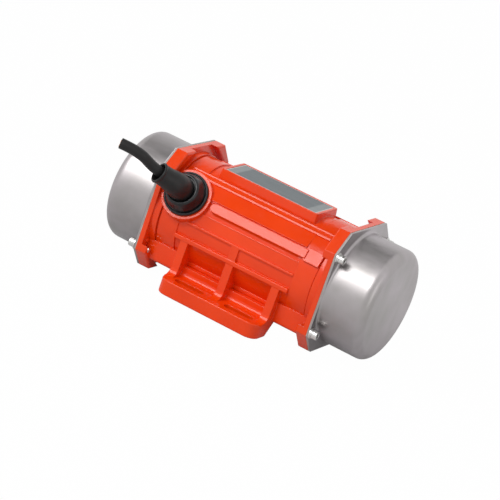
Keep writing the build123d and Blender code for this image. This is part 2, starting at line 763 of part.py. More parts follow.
# Gland: flanged body screwed in the boss, rubber seal and tapered nut
gland_seat_rho = gland_boss_rho + gland_disc_t
nut_top_rho = gland_seat_rho + gland_nut_h
with BuildPart() as gland_body:
    with BuildSketch(radial_plane(gland_x, gland_boss_rho)):
        Circle(gland_disc_r)
    extrude(amount=gland_disc_t)
    fillet(gland_body.edges().sort_by(Axis(radial_point(gland_x, 0), gland_normal))[-1], radius=0.8)
    with BuildSketch(radial_plane(gland_x, gland_stub_rho)):
        Circle(gland_stub_r)
    extrude(amount=gland_boss_rho - gland_stub_rho)
    with BuildSketch(radial_plane(gland_x, gland_stub_rho)):
        Circle(cord_r + cord_gap)
    extrude(amount=gland_seat_rho - gland_stub_rho, mode=Mode.SUBTRACT)
gland_body.part.label = "gland_body"
export_step(gland_body.part, "parts/gland_body.step")

with BuildPart() as gland_seal:
    with BuildSketch(radial_plane(gland_x, gland_seat_rho)):
        Circle(seal_r)
        Circle(cord_r + cord_gap, mode=Mode.SUBTRACT)
    extrude(amount=seal_h)
gland_seal.part.label = "gland_seal"
export_step(gland_seal.part, "parts/gland_seal.step")

with BuildPart() as gland_nut:
    with BuildSketch(radial_plane(gland_x, gland_seat_rho)):
        Circle(gland_nut_r)
    with BuildSketch(radial_plane(gland_x, nut_top_rho)):
        Circle(gland_nut_top_r)
    loft()
    with BuildSketch(radial_plane(gland_x, gland_seat_rho)):
        RegularPolygon(gland_nut_flat_r, 6, major_radius=False)
    extrude(amount=gland_nut_h, mode=Mode.INTERSECT)
    with BuildSketch(radial_plane(gland_x, gland_seat_rho)):
        Circle(seal_r + fit_gap)
    extrude(amount=seal_h + fit_gap, mode=Mode.SUBTRACT)
    with BuildSketch(radial_plane(gland_x, nut_top_rho - gland_mouth_depth)):
        Circle(gland_mouth_r)
    extrude(amount=gland_mouth_depth, mode=Mode.SUBTRACT)
    with BuildSketch(radial_plane(gland_x, gland_seat_rho)):
        Circle(cord_r + cord_gap)
    extrude(amount=gland_nut_h, mode=Mode.SUBTRACT)
gland_nut.part.label = "gland_nut"
export_step(gland_nut.part, "parts/gland_nut.step")

# Rubber boot, bent with the cord and open at its mouth
boot_sections = (
    (0, boot_base_r), (0.3, boot_base_r - 0.2), (0.65, boot_waist_r), (0.88, boot_neck_r), (1, boot_lip_r),
)
boot_start = nut_top_rho - gland_mouth_depth + 3 * fit_gap - gland_stub_rho
boot_end = sum(runs[:3]) - boot_short
with BuildPart() as cable_boot:
    for share, radius in boot_sections:
        with BuildSketch(across_cord(boot_start + share * (boot_end - boot_start))):
            Circle(radius)
    loft()
    with BuildSketch(across_cord(0)):
        Circle(cord_r + cord_gap)
    sweep(path=cord_path, mode=Mode.SUBTRACT)
    with BuildSketch(across_cord(boot_end + 0.5)):
        Circle(boot_mouth_r)
    with BuildSketch(across_cord(boot_end - boot_mouth_depth)):
        Circle(cord_r + cord_gap)
    loft(mode=Mode.SUBTRACT)
cable_boot.part.label = "cable_boot"
export_step(cable_boot.part, "parts/cable_boot.step")
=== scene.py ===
from math import cos, pi, radians, sin

import bmesh
import bpy
import numpy as np
from mathutils import Matrix


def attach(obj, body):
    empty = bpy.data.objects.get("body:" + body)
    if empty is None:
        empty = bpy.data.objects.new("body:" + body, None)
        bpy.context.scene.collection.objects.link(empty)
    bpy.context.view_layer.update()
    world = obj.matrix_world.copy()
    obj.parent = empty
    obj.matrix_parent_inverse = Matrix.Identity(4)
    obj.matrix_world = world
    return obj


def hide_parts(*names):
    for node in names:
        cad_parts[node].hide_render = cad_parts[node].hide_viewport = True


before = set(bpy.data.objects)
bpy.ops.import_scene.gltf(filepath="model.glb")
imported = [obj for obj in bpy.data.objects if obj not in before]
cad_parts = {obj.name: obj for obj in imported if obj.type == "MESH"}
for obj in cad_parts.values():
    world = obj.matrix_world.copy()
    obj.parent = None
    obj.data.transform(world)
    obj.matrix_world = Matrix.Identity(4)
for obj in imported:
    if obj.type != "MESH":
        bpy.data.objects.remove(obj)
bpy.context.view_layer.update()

# Sizes in metres. X runs along the shaft, -Y is the cable side and Z is up.
MM = 0.001
axis_height = 50 * MM
gland_x = -53.0 * MM
gland_tilt = radians(29)
gland_boss_rho = 44.5 * MM
gland_disc_r = 17.2 * MM
gland_disc_t = 3.0 * MM
gland_nut_h = 9.5 * MM
gland_mouth_r = 10.5 * MM
gland_mouth_depth = 2.4 * MM
cord_r = 4.1 * MM
cord_stub_rho = 37.2 * MM
plate_half_length = 39.5 * MM
plate_half_width = 15.5 * MM
screw_y = 41.1 * MM
screw_z = 30.2 * MM
screw_places = [(y, z) for y in (-screw_y, screw_y) for z in (-screw_z, screw_z)]
screw_head_x = 79.6 * MM
screw_head_r = 3.5 * MM
screw_head_h = 4.0 * MM
screw_r = 2.0 * MM
screw_tip_x = 66.1 * MM
socket_half_width = 1.5 * MM
socket_depth = 2.2 * MM
rib_stations = (-40.5 * MM, 0.0, 40.5 * MM)
rib_plug_r = 2.01 * MM
rib_plug_half = 3.27 * MM

# Cast forms on the barrel, in millimetres and degrees
flat_end = 50.0
sill_end = 43.0
rail_end = 62.0
bar_left = -31.0
bar_right = 53.0
bar_angle = 29.0
bar_half_angle = 4.5
bar_distance = 44.9
ridge_depth = 1.5

# The photograph's camera, fitted to the flanges, the caps and the foot
camera_azimuth = radians(22.9)
camera_elevation = radians(17.5)
camera_roll = radians(19.3)
camera_distance = 1.811
camera_lens = 174.4
camera_shift = (-0.022, -0.0132)
studio_centre = np.array([0.0, 0.0, axis_height])
floor_half = 4.0
unit_square = np.array([(-1, -1, 0), (1, -1, 0), (1, 1, 0), (-1, 1, 0)])

# Distance within which mesh points merge, and angle from which an edge shows sharp
merge_distance = 2e-6
sharp_angle = radians(35)

gland_normal = np.array([0.0, -cos(gland_tilt), sin(gland_tilt)])
along_x = np.array([1.0, 0.0, 0.0])
gland_side = np.cross(gland_normal, along_x)


def radial_point(x, rho):
    """Point at station x on the gland's radial line, rho from the shaft axis."""
    return np.array([x, 0.0, axis_height]) + gland_normal * rho


# Materials

def new_material(name):
    """A material with its node tree, and the shader that its look is built on."""
    material = bpy.data.materials.new(name)
    material.use_nodes = True
    tree = material.node_tree
    return material, tree, tree.nodes["Principled BSDF"]


def object_coordinates(tree, scale=(1, 1, 1)):
    """Object coordinates in metres, stretched by a scale along each axis."""
    source = tree.nodes.new("ShaderNodeTexCoord")
    mapping = tree.nodes.new("ShaderNodeMapping")
    mapping.inputs["Scale"].default_value = scale
    tree.links.new(source.outputs["Object"], mapping.inputs["Vector"])
    return mapping.outputs["Vector"]


def noise(tree, vector, scale, detail=3.0, roughness=0.5):
    """Cloud pattern between 0 and 1, with scale in lumps per metre of the given vector."""
    node = tree.nodes.new("ShaderNodeTexNoise")
    node.inputs["Scale"].default_value = scale
    node.inputs["Detail"].default_value = detail
    node.inputs["Roughness"].default_value = roughness
    tree.links.new(vector, node.inputs["Vector"])
    return node.outputs["Fac"]


def spread(tree, value, low, high, start=0.3, end=0.7):
    """Carries a pattern's start to end range over to low to high."""
    node = tree.nodes.new("ShaderNodeMapRange")
    node.inputs["From Min"].default_value = start
    node.inputs["From Max"].default_value = end
    node.inputs["To Min"].default_value = low
    node.inputs["To Max"].default_value = high
    tree.links.new(value, node.inputs["Value"])
    return node.outputs["Result"]


def combine(tree, operation, first, second=0.0):
    """Math node on two values, each a number or another node's output."""
    node = tree.nodes.new("ShaderNodeMath")
    node.operation = operation
    for value, socket in zip((first, second), node.inputs):
        if isinstance(value, bpy.types.NodeSocket):
            tree.links.new(value, socket)
        else:
            socket.default_value = value
    return node.outputs[0]


def two_colours(tree, factor, first, second):
    """Blend of two colours by a pattern from 0 to 1."""
    node = tree.nodes.new("ShaderNodeMix")
    node.data_type = "RGBA"
    node.inputs["A"].default_value = (*first, 1)
    node.inputs["B"].default_value = (*second, 1)
    tree.links.new(factor, node.inputs["Factor"])
    return node.outputs["Result"]


def soft_edges(tree, radius):
    """Normal that is rounded over each edge by a small radius."""
    node = tree.nodes.new("ShaderNodeBevel")
    node.samples = 6
    node.inputs["Radius"].default_value = radius
    return node.outputs["Normal"]


def relief(tree, height, depth, normal=None):
    """Surface relief from a pattern, depth metres high, on top of a normal."""
    node = tree.nodes.new("ShaderNodeBump")
    node.inputs["Distance"].default_value = depth
    node.inputs["Strength"].default_value = 1.0
    tree.links.new(height, node.inputs["Height"])
    if normal is not None:
        tree.links.new(normal, node.inputs["Normal"])
    return node.outputs["Normal"]


def orange_powder_coat():
    """Glossy orange powder coat on a casting: faint orange peel over slow unevenness."""
    material, tree, shader = new_material("orange_powder_coat")
    place = object_coordinates(tree)
    blotch = spread(tree, noise(tree, place, 32.0), 0.0, 1.0)
    colour = two_colours(tree, blotch, (0.80, 0.047, 0.001), (0.87, 0.055, 0.002))
    tree.links.new(colour, shader.inputs["Base Color"])
    gloss = spread(tree, noise(tree, place, 90.0), 0.17, 0.25)
    tree.links.new(gloss, shader.inputs["Roughness"])
    shader.inputs["Specular IOR Level"].default_value = 0.36
    cast_skin = relief(tree, noise(tree, place, 260.0, 2.0), 0.00014, soft_edges(tree, 0.0008))
    peel = relief(tree, noise(tree, place, 1100.0, 1.0), 0.00003, cast_skin)
    tree.links.new(peel, shader.inputs["Normal"])
    return material


def satin_steel(name, colour, darker, roughness, grain_scale=(2600, 55, 55)):
    """Bare steel with a fine grain: lines round the shaft, soft clouds in tone and gloss."""
    material, tree, shader = new_material(name)
    grain = noise(tree, object_coordinates(tree, grain_scale), 1.0, 2.0)
    clouds = noise(tree, object_coordinates(tree), 45.0, 4.0)
    tone = two_colours(tree, spread(tree, clouds, 0.0, 1.0, 0.35, 0.65), colour, darker)
    tree.links.new(tone, shader.inputs["Base Color"])
    shader.inputs["Metallic"].default_value = 1.0
    gloss = spread(tree, grain, roughness - 0.05, roughness + 0.06)
    tree.links.new(gloss, shader.inputs["Roughness"])
    scratches = relief(tree, grain, 0.000012, soft_edges(tree, 0.0003))
    tree.links.new(scratches, shader.inputs["Normal"])
    return material


def drawn_steel():
    """Pickled steel of the caps: satin, with hand-sized smears and cloudy patches in its gloss."""
    material, tree, shader = new_material("cap_steel")
    place = object_coordinates(tree)
    patches = noise(tree, place, 26.0, 3.0)
    smears = noise(tree, object_coordinates(tree, (30, 95, 28)), 1.0, 3.0, 0.55)
    fine = noise(tree, place, 900.0, 2.0)
    cloud = spread(tree, combine(tree, "ADD", patches, smears), 0.0, 1.0, 0.75, 1.25)
    tone = two_colours(tree, cloud, (0.335, 0.318, 0.312), (0.435, 0.402, 0.416))
    tree.links.new(tone, shader.inputs["Base Color"])
    shader.inputs["Metallic"].default_value = 1.0
    tree.links.new(spread(tree, smears, 0.34, 0.45), shader.inputs["Roughness"])
    tree.links.new(relief(tree, fine, 0.0000015, soft_edges(tree, 0.0003)), shader.inputs["Normal"])
    return material


def black_rubber(name, colour, roughness, pores_scale=1400.0, pores_depth=0.00004, shine=0.3):
    """Black rubber or nylon with a fine matt skin and slightly dusty clouds."""
    material, tree, shader = new_material(name)
    place = object_coordinates(tree)
    dust = spread(tree, noise(tree, place, 120.0, 4.0), 0.0, 1.0)
    lighter = tuple(1.7 * part + 0.002 for part in colour)
    tree.links.new(two_colours(tree, dust, colour, lighter), shader.inputs["Base Color"])
    gloss = spread(tree, noise(tree, place, 300.0), roughness - 0.05, roughness + 0.08)
    tree.links.new(gloss, shader.inputs["Roughness"])
    shader.inputs["Specular IOR Level"].default_value = shine
    skin = relief(tree, noise(tree, place, pores_scale, 2.0), pores_depth)
    tree.links.new(skin, shader.inputs["Normal"])
    return material


def plate_grey():
    """Bare grey plate: a painted highlight line runs inside its edge, and its ends are lighter."""
    material, tree, shader = new_material("plate_grey")
    source = tree.nodes.new("ShaderNodeTexCoord")
    parts = tree.nodes.new("ShaderNodeSeparateXYZ")
    tree.links.new(source.outputs["Object"], parts.inputs["Vector"])

    def edge_distance(axis, half):
        """Distance to the nearer edge along one axis."""
        return combine(tree, "SUBTRACT", half, combine(tree, "ABSOLUTE", parts.outputs[axis]))

    to_end = edge_distance("X", plate_half_length)
    to_side = edge_distance("Y", plate_half_width)
    # Painted highlight: a pale line just inside the plate's edge, all round
    painted_rim_highlight = spread(tree, combine(tree, "MINIMUM", to_end, to_side), 1.0, 0.0, 0.0006, 0.0009)
    ends = spread(tree, to_end, 1.0, 0.0, 0.007, 0.0085)
    ground = two_colours(tree, ends, (0.115, 0.135, 0.145), (0.235, 0.255, 0.26))
    # Pale colour of the painted highlight line, laid over the plate's grey
    rim_highlight_mix = tree.nodes.new("ShaderNodeMix")
    rim_highlight_mix.data_type = "RGBA"
    rim_highlight_mix.inputs["B"].default_value = (0.62, 0.61, 0.58, 1)
    tree.links.new(painted_rim_highlight, rim_highlight_mix.inputs["Factor"])
    tree.links.new(ground, rim_highlight_mix.inputs["A"])
    tree.links.new(rim_highlight_mix.outputs["Result"], shader.inputs["Base Color"])
    shader.inputs["Metallic"].default_value = 0.35
    brushed = noise(tree, object_coordinates(tree, (60, 2400, 60)), 1.0, 2.0)
    tree.links.new(spread(tree, brushed, 0.36, 0.5), shader.inputs["Roughness"])
    tree.links.new(relief(tree, brushed, 0.000008), shader.inputs["Normal"])
    return material


def laminated_steel():
    """Stacked sheets: fine dark lines across the shaft."""
    material, tree, shader = new_material("laminated_steel")
    sheets = noise(tree, object_coordinates(tree, (2000, 12, 12)), 1.0, 1.0)
    tone = two_colours(tree, spread(tree, sheets, 0.0, 1.0), (0.16, 0.16, 0.17), (0.36, 0.36, 0.37))
    tree.links.new(tone, shader.inputs["Base Color"])
    shader.inputs["Metallic"].default_value = 0.9
    shader.inputs["Roughness"].default_value = 0.45
    tree.links.new(relief(tree, sheets, 0.00004), shader.inputs["Normal"])
    return material


def varnished_copper():
    """Enamelled copper wire under varnish, strands running round the bundle."""
    material, tree, shader = new_material("varnished_copper")
    strands = noise(tree, object_coordinates(tree, (900, 60, 60)), 1.0, 2.0)
    light = spread(tree, strands, 0.0, 1.0)
    tone = two_colours(tree, light, (0.28, 0.075, 0.02), (0.68, 0.25, 0.09))
    tree.links.new(tone, shader.inputs["Base Color"])
    shader.inputs["Metallic"].default_value = 0.7
    shader.inputs["Roughness"].default_value = 0.32
    tree.links.new(relief(tree, strands, 0.00012), shader.inputs["Normal"])
    return material


def cast_aluminium():
    """Sand-cast aluminium: pale, grainy and soft at its edges."""
    material, tree, shader = new_material("cast_aluminium")
    place = object_coordinates(tree)
    tone = two_colours(tree, noise(tree, place, 140.0), (0.44, 0.45, 0.47), (0.64, 0.65, 0.67))
    tree.links.new(tone, shader.inputs["Base Color"])
    shader.inputs["Metallic"].default_value = 0.9
    shader.inputs["Roughness"].default_value = 0.48
    grain = relief(tree, noise(tree, place, 900.0), 0.00008, soft_edges(tree, 0.0005))
    tree.links.new(grain, shader.inputs["Normal"])
    return material


def plain_white(name, seen_level, gloss_level):
    """Studio white: shines at one level to the eye and is lit otherwise.

    To gloss it shines too, and fades to a tenth under the object: a painted shadow, where its
    shadow lies.
    """
    material, tree, shader = new_material(name)
    tree.nodes.remove(shader)
    path = tree.nodes.new("ShaderNodeLightPath")
    seen = combine(tree, "MULTIPLY", path.outputs["Is Camera Ray"], seen_level)
    # Painted shadow: the glow that gloss sees fades towards the middle, under the object
    away = tree.nodes.new("ShaderNodeVectorMath")
    away.operation = "LENGTH"
    tree.links.new(object_coordinates(tree, (0.6, 1, 1)), away.inputs[0])
    fade = spread(tree, away.outputs["Value"], 0.1 * gloss_level, gloss_level, 0.04, 0.18)
    glossy, through = path.outputs["Is Glossy Ray"], path.outputs["Is Transmission Ray"]
    mirrored = combine(tree, "MULTIPLY", combine(tree, "MAXIMUM", glossy, through), fade)
    lit = tree.nodes.new("ShaderNodeBsdfDiffuse")
    lit.inputs["Color"].default_value = (0.6, 0.6, 0.6, 1)
    glow = tree.nodes.new("ShaderNodeEmission")
    mix = tree.nodes.new("ShaderNodeMixShader")
    tree.links.new(combine(tree, "MAXIMUM", seen, mirrored), mix.inputs["Fac"])
    tree.links.new(lit.outputs["BSDF"], mix.inputs[1])
    tree.links.new(glow.outputs["Emission"], mix.inputs[2])
    tree.links.new(mix.outputs["Shader"], tree.nodes["Material Output"].inputs["Surface"])
    return material


def matt_black(name):
    """Black felt of a studio card."""
    material, tree, shader = new_material(name)
    shader.inputs["Base Color"].default_value = (0.02, 0.02, 0.02, 1)
    shader.inputs["Roughness"].default_value = 1.0
    shader.inputs["Specular IOR Level"].default_value = 0.0
    return material


# Mesh makers

def surface(name, grid, ring=False):
    """Mesh on a grid of points, whose rows, along the first index, are closed loops.

    For a ring the last row joins the first too. Poles, where a row is one point, are merged,
    and all faces are turned outwards.
    """
    rows, columns = grid.shape[:2]
    a, b = np.meshgrid(np.arange(rows if ring else rows - 1), np.arange(columns), indexing="ij")
    next_a = (a + 1) % rows
    next_b = (b + 1) % columns
    corners = (
        a * columns + b, next_a * columns + b, next_a * columns + next_b, a * columns + next_b,
    )
    faces = np.stack(corners, -1).reshape(-1, 4)
    mesh = bpy.data.meshes.new(name)
    mesh.from_pydata(grid.reshape(-1, 3).tolist(), [], faces.tolist())
    tidy_mesh(mesh)
    return mesh


def tidy_mesh(mesh):
    """Merges doubles, turns faces outwards and shades smooth up to the sharp angle."""
    shell = bmesh.new()
    shell.from_mesh(mesh)
    bmesh.ops.remove_doubles(shell, verts=shell.verts, dist=merge_distance)
    bmesh.ops.dissolve_degenerate(shell, edges=shell.edges, dist=1e-7)
    bmesh.ops.recalc_face_normals(shell, faces=shell.faces)
    shell.to_mesh(mesh)
    shell.free()
    mesh.shade_smooth()
    mesh.set_sharp_from_angle(angle=sharp_angle)


def piece(name, mesh, material, body, slot, *nodes):
    """A finished object: its material, the body it rides on and the nodes it stands for."""
    made = bpy.data.objects.new(name, mesh)
    bpy.context.scene.collection.objects.link(made)
    made.data.materials.clear()
    made.data.materials.append(material)
    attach(made, body)
    if nodes:
        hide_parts(*nodes)
    return made


def joined(name, meshes):
    """One mesh out of several."""
    shell = bmesh.new()
    for mesh in meshes:
        shell.from_mesh(mesh)
        bpy.data.meshes.remove(mesh)
    whole = bpy.data.meshes.new(name)
    shell.to_mesh(whole)
    shell.free()
    return whole


def full_turn(steps):
    """Angles of one turn in equal steps."""
    return np.linspace(0, 2 * pi, steps, endpoint=False)


gland_turn = full_turn(96)


def ring_grid(outline, ripple=1.0):
    """Surface of revolution about the gland's radial line.

    A profile of radius against rho is carried round the line; ripple, one row of factors for
    each point of the profile, multiplies the radius.
    """
    angle = gland_turn[None, :, None]
    spoke = np.cos(angle) * along_x + np.sin(angle) * gland_side
    centre = radial_point(gland_x, 0) + outline[:, 1, None, None] * gland_normal
    reach = outline[:, :1] * ripple * np.ones(len(gland_turn))
    return centre + reach[..., None] * spoke


def rounded(start, corner, end, radius):
    """Points of an arc that rounds a corner between two profile runs."""
    start, corner, end = (np.array(point, float) for point in (start, corner, end))
    inward = (start - corner) / np.linalg.norm(start - corner)
    onward = (end - corner) / np.linalg.norm(end - corner)
    share = np.linspace(0, 1, 6)[:, None]
    first = corner + inward * radius
    last = corner + onward * radius
    return (1 - share) ** 2 * first + 2 * share * (1 - share) * corner + share ** 2 * last


def rounded_profile(points, radii):
    """Profile through the given points with each inner corner rounded by its radius."""
    runs = [np.array([points[0]], float)]
    for before, corner, after, radius in zip(points, points[1:], points[2:], radii):
        runs.append(rounded(before, corner, after, radius))
    runs.append(np.array([points[-1]], float))
    return np.concatenate(runs)


# Cord, boot and gland

cord_points = [
    radial_point(gland_x, cord_stub_rho), radial_point(gland_x, 60.5 * MM),
    radial_point(-60.0 * MM, 72.0 * MM), radial_point(-70.0 * MM, 83.0 * MM),
    np.array([-78.4, -83.0, 99.6]) * MM, np.array([-92.5, -89.0, 101.1]) * MM,
]


def cord_curve():
    """The cord's centreline: one open spline with the route's points as control points."""
    curve = bpy.data.curves.new("power_cord_line", "CURVE")
    curve.dimensions = "3D"
    spline = curve.splines.new("NURBS")
    spline.points.add(len(cord_points) - 1)
    for point, place in zip(spline.points, cord_points):
        point.co = (*place, 1)
    spline.order_u = 3
    spline.use_endpoint_u = True
    spline.resolution_u = 24
    curve.resolution_u = 24
    return curve


def curve_points(curve):
    """Points along a curve that has no bevel."""
    holder = bpy.data.objects.new("route", curve)
    line = bpy.data.meshes.new_from_object(holder)
    points = np.zeros(len(line.vertices) * 3)
    line.vertices.foreach_get("co", points)
    bpy.data.objects.remove(holder)
    bpy.data.meshes.remove(line)
    return points.reshape(-1, 3)


cord_line = cord_curve()
route = curve_points(cord_line)
route_steps = np.linalg.norm(np.diff(route, axis=0), axis=1)
route_length = np.concatenate([[0.0], np.cumsum(route_steps)])
cord_length = float(route_length[-1])


def on_route(distance):
    """Place and direction on the cord's centreline at distances from its inner end."""
    behind, place, ahead = (
        np.stack([np.interp(distance + shift, route_length, axis) for axis in route.T], -1)
        for shift in (-1 * MM, 0.0, 1 * MM)
    )
    direction = ahead - behind
    return place, direction / np.linalg.norm(direction, axis=-1, keepdims=True)


def tube_grid(outline, shift):
    """Profile of distance and radius, carried round the cord's centreline.

    At each station the ring lies square to the line; shift moves its centre sideways.
    """
    place, direction = on_route(outline[:, 0])
    side = np.cross(direction, gland_side)
    side /= np.linalg.norm(side, axis=-1, keepdims=True)
    other = np.cross(direction, side)
    angle = full_turn(64)[None, :, None]
    spoke = np.cos(angle) * side[:, None, :] + np.sin(angle) * other[:, None, :]
    return (place + shift)[:, None, :] + outline[:, 1, None, None] * spoke


def make_power_cord(material):
    """Round black cord on its route, cut square at its outer end."""
    cord_line.bevel_depth = cord_r
    cord_line.bevel_resolution = 10
    cord_line.use_fill_caps = True
    cord_line.materials.append(material)
    cord = bpy.data.objects.new("power_cord_run", cord_line)
    bpy.context.scene.collection.objects.link(cord)
    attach(cord, "frame")
    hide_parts("power_cord")
    return cord


def make_cord_end(copper, insulation):
    """Cut end of the cord: three insulated cores round the middle, flush with the sheath."""
    place, direction = on_route(np.array([cord_length]))
    tangent = direction[0]
    side = np.cross(tangent, np.array([0.0, 0.0, 1.0]))
    side /= np.linalg.norm(side)
    other = np.cross(tangent, side)
    core_r = 1.45 * MM
    wire_r = 0.85 * MM
    stand_out = 0.25 * MM
    core_circle_r = 1.85 * MM
    angle = full_turn(24)[None, :, None]
    spoke = np.cos(angle) * side + np.sin(angle) * other
    groups = []
    for radius, height in ((core_r, stand_out), (wire_r, 1.5 * stand_out)):
        meshes = []
        for spin in full_turn(3):
            middle = place[0] + core_circle_r * (cos(spin) * side + sin(spin) * other)
            reach = np.array([radius, radius, 0.93 * radius, 0.0])
            lift = np.array([-height, 0.6 * height, height, height])
            grid = middle + lift[:, None, None] * tangent + reach[:, None, None] * spoke
            meshes.append(surface("core", grid))
        groups.append(joined("cores", meshes))
    piece("cord_cores", groups[0], insulation, "frame", "cord_rubber")
    piece("cord_wires", groups[1], copper, "frame", "copper")


# The boot's two ends, as distances along the cord
gland_mouth_rho = gland_boss_rho + gland_disc_t + gland_nut_h - gland_mouth_depth
boot_start = gland_mouth_rho + 0.3 * MM - cord_stub_rho
boot_end = 46.5 * MM


def make_cable_boot(material):
    """Tapered rubber boot: a profile of radius along the cord, with a rolled lip and a mouth.

    Its centreline drifts to one side of the cord towards the mouth, so that the cord leans
    on the mouth's left edge.
    """
    inner = cord_r + 0.12 * MM
    profile = [
        (boot_start, inner), (boot_start, 9.7 * MM), (boot_start + 3 * MM, 9.75 * MM),
        (boot_start + 12 * MM, 9.2 * MM), (boot_end - 8 * MM, 8.0 * MM),
        (boot_end - 2.5 * MM, 7.9 * MM), (boot_end - 1.2 * MM, 8.5 * MM), (boot_end, 8.2 * MM),
        (boot_end + 0.1 * MM, 7.0 * MM), (boot_end - 2 * MM, 6.5 * MM), (boot_end - 9 * MM, inner),
    ]
    outline = rounded_profile(profile, np.array([0.5, 1.2, 3, 3, 0.6, 0.6, 0.6, 0.6, 1.0]) * MM)
    dense = [outline[:1]]
    for start, end in zip(outline, outline[1:]):
        count = max(1, int(np.linalg.norm(end - start) / (0.8 * MM)))
        share = np.linspace(0, 1, count + 1)[1:, None]
        dense.append(start + share * (end - start))
    outline = np.concatenate(dense)
    rise = np.clip((outline[:, 0] - boot_start) / (boot_end - boot_start), 0, 1)
    drift = (rise ** 2 * (3 - 2 * rise))[:, None] * np.array([1.2, 0.5, -1.2]) * MM
    grid = tube_grid(outline, drift)
    return piece("boot_sleeve", surface("boot_sleeve", grid, ring=True), material,
                 "frame", "boot_rubber", "cable_boot")


def make_gland_base(material):
    """Round flange of the gland: a profile of radius against rho, with soft rims and a groove."""
    seat = gland_boss_rho
    top = seat + gland_disc_t
    bore = cord_r + 0.2 * MM
    stub_r = 8.0 * MM
    profile = [
        (bore, seat), (gland_disc_r - 0.5 * MM, seat), (gland_disc_r, seat + 0.5 * MM),
        (gland_disc_r, seat + 2.0 * MM), (gland_disc_r - 0.9 * MM, top),
        (gland_disc_r - 1.8 * MM, top - 0.5 * MM), (14.0 * MM, top - 0.5 * MM), (13.0 * MM, top),
        (bore, top),
    ]
    outline = rounded_profile(profile, np.array([0.3, 0.3, 0.5, 0.5, 0.3, 0.3, 0.3]) * MM)
    flange = surface("gland_flange", ring_grid(outline), ring=True)
    stub_outline = np.array([
        (bore, cord_stub_rho), (stub_r, cord_stub_rho), (stub_r, seat), (bore, seat),
    ])
    stub = surface("gland_stub", ring_grid(stub_outline), ring=True)
    piece("gland_flange", joined("gland_flange", [flange, stub]), material,
          "frame", "gland_nylon", "gland_body")


def make_gland_nut(material):
    """Domed nut: a rounded profile whose six soft facets fade out towards its mouth."""
    seat = gland_boss_rho + gland_disc_t
    top = seat + gland_nut_h
    inner = cord_r + 0.2 * MM
    profile = [
        (inner, seat), (14.9 * MM, seat), (15.2 * MM, seat + 1.2 * MM),
        (14.6 * MM, seat + 4.4 * MM), (12.6 * MM, top - 0.9 * MM), (11.6 * MM, top),
        (gland_mouth_r, top),
        (gland_mouth_r, top - gland_mouth_depth), (inner, top - gland_mouth_depth),
    ]
    outline = rounded_profile(profile, np.array([0.3, 0.6, 1.6, 0.9, 0.4, 0.4, 0.2]) * MM)
    lift = np.clip((outline[:, 1] - seat) / gland_nut_h, 0, 1)
    outside = outline[:, 0] > 12.0 * MM
    depth = np.where(outside, 0.055 * np.sin(pi * np.clip(lift * 1.15, 0, 1)), 0.0)[:, None]
    grid = ring_grid(outline, 1 - depth * np.abs(np.sin(3 * gland_turn)))
    piece("gland_dome", surface("gland_dome", grid, ring=True), material,
          "frame", "gland_nylon", "gland_nut")


# Screws

def screw_grid(side, place_y, place_z):
    """Socket screw: one profile of radius against depth, knurled round the head.

    Outside rows are circles, the head's wall carries fine ridges, and the socket's rows
    are hexagons with the same distance across their flats.
    """
    head = screw_head_x
    top = head + screw_head_h
    angle = full_turn(72)
    hexagon = 1 / np.cos((angle + pi / 6) % (pi / 3) - pi / 6)
    knurl = 1 - 0.035 * (0.5 + 0.5 * np.cos(24 * angle))
    circle = np.ones(len(angle))
    rows = [
        (screw_tip_x, 0.0, circle), (screw_tip_x, screw_r - 0.4 * MM, circle),
        (screw_tip_x + 0.4 * MM, screw_r, circle), (head, screw_r, circle),
        (head, screw_head_r - 0.25 * MM, circle), (head + 0.25 * MM, screw_head_r, circle),
        (head + 0.5 * MM, screw_head_r, knurl), (top - 0.8 * MM, screw_head_r, knurl),
        (top - 0.55 * MM, screw_head_r, circle), (top - 0.2 * MM, screw_head_r - 0.15 * MM, circle),
        (top, screw_head_r - 0.5 * MM, circle), (top, socket_half_width + 0.25 * MM, hexagon),
        (top - 0.2 * MM, socket_half_width, hexagon),
        (top - socket_depth, socket_half_width, hexagon),
        (top - socket_depth - 0.4 * MM, 0.0, circle),
    ]
    x = np.array([row[0] for row in rows])[:, None] * circle
    reach = np.array([row[1] * row[2] for row in rows])
    y = place_y + reach * np.cos(angle)
    z = axis_height + place_z + reach * np.sin(angle)
    return np.stack([side * x, y, z], -1)


def make_cap_screws(material):
    """Four screws at each end, one mesh for each end."""
    for side, name in ((-1, "left"), (1, "right")):
        grids = [screw_grid(side, y, z) for y, z in screw_places]
        meshes = [surface("screw", grid) for grid in grids]
        piece(f"socket_screws_{name}", joined("screws", meshes), material,
              "frame", "screw_steel", f"cap_screws_{name}")


# Fine cast forms on the barrel

def barrel_ring(x, outline, side):
    """Points of a closed outline of (angle, radius) about the shaft, at one station.

    The angle counts up from level, on the cable side for side -1 and opposite for 1.
    """
    angle, reach = np.array(outline, float).T
    turn = np.radians(angle)
    station = np.full(len(outline), float(x))
    height = axis_height / MM + reach * np.sin(turn)
    return np.stack([station, side * reach * np.cos(turn), height], -1) * MM


def barrel_strip(x0, x1, outline, side):
    """Prism along the shaft: an outline about it, carried straight and closed at its ends."""
    first, last = barrel_ring(x0, outline, side), barrel_ring(x1, outline, side)
    ends = [np.broadcast_to(ring.mean(0), ring.shape) for ring in (first, last)]
    return surface("strip", np.stack([ends[0], first, last, ends[1]]))


def flat_facet(normal_angle, distance, low, high, root):
    """Outline of a flat on the barrel: a chord square to one direction, on a sunk root."""
    ends = [(angle, distance / cos(radians(angle - normal_angle))) for angle in (low, high)]
    return [ends[0], ends[1], (high, root), (low, root)]


def ridge(angle, radius, width, normal_angle):
    """Outline of a ridge on the barrel: a flat front square to one direction, on a sunk root."""
    turn, face = radians(angle), radians(normal_angle)
    root = radius - ridge_depth
    ends = []
    for along in (-width / 2, width / 2):
        out = radius * cos(turn) - along * sin(face)
        up = radius * sin(turn) + along * cos(face)
        ends.append((np.degrees(np.arctan2(up, out)), np.hypot(out, up)))
    return [ends[0], ends[1], (ends[1][0], root), (ends[0][0], root)]


